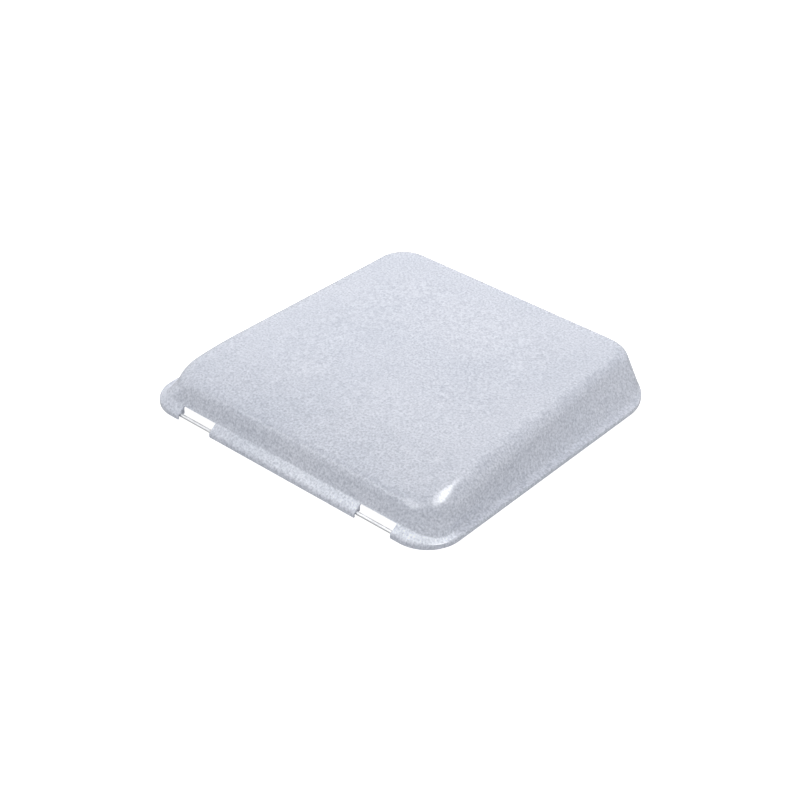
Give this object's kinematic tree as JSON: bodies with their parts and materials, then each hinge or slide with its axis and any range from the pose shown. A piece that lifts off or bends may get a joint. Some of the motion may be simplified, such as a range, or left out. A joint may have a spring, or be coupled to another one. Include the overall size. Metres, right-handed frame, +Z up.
{
  "type": "roof vent cover",
  "caption": "Moulded roof vent lid for a caravan: shallow domed cover with a sloping skirt, turning on a steel hinge rod exposed in two notches, with a slide track and foam seals inside.",
  "frame": {"origin": "middle of the closed lid's footprint, on the plane that the rim rests on", "axes": "+X along the hinge rod, +Y from the hinge edge to the opening edge, +Z up through the dome"},
  "size_m": [0.4, 0.381, 0.0457],
  "materials": {
    "lid_plastic": "pale blue-white, semi-gloss moulded surface",
    "zinc_steel": "bright zinc plate",
    "galvanised_steel": "galvanised sheet, dull",
    "spring_steel": "dark spring steel",
    "nylon": "natural nylon",
    "foam": "closed-cell foam"
  },
  "bodies": {
    "hinge_rod": {"hinge_rod": "zinc_steel"},
    "lid": {"lid_shell": "lid_plastic", "slide_track": "galvanised_steel", "track_stop_hinge_end": "nylon", "track_stop_far_end": "nylon", "track_washer_1": "zinc_steel", "track_washer_2": "zinc_steel", "track_washer_3": "zinc_steel", "track_washer_4": "zinc_steel", "track_screw_1": "zinc_steel", "track_screw_2": "zinc_steel", "track_screw_3": "zinc_steel", "track_screw_4": "zinc_steel", "seal_hinge_side": "foam", "seal_opening_side": "foam", "seal_left": "foam", "seal_right": "foam"},
    "shoe": {"slide_shoe": "nylon", "arm_pin": "zinc_steel", "arm_pin_clip": "spring_steel"}
  },
  "joints": [
    {"name": "lid_hinge", "type": "hinge", "parent": "hinge_rod", "child": "lid", "pos_m": [0, -0.1853, 0.0032], "axis": [1, 0, 0], "range_deg": [0, 75]},
    {"name": "shoe_slide", "type": "slide", "parent": "lid", "child": "shoe", "axis": [0, 1, 0], "range_m": [-0.058, 0.058]}
  ]
}
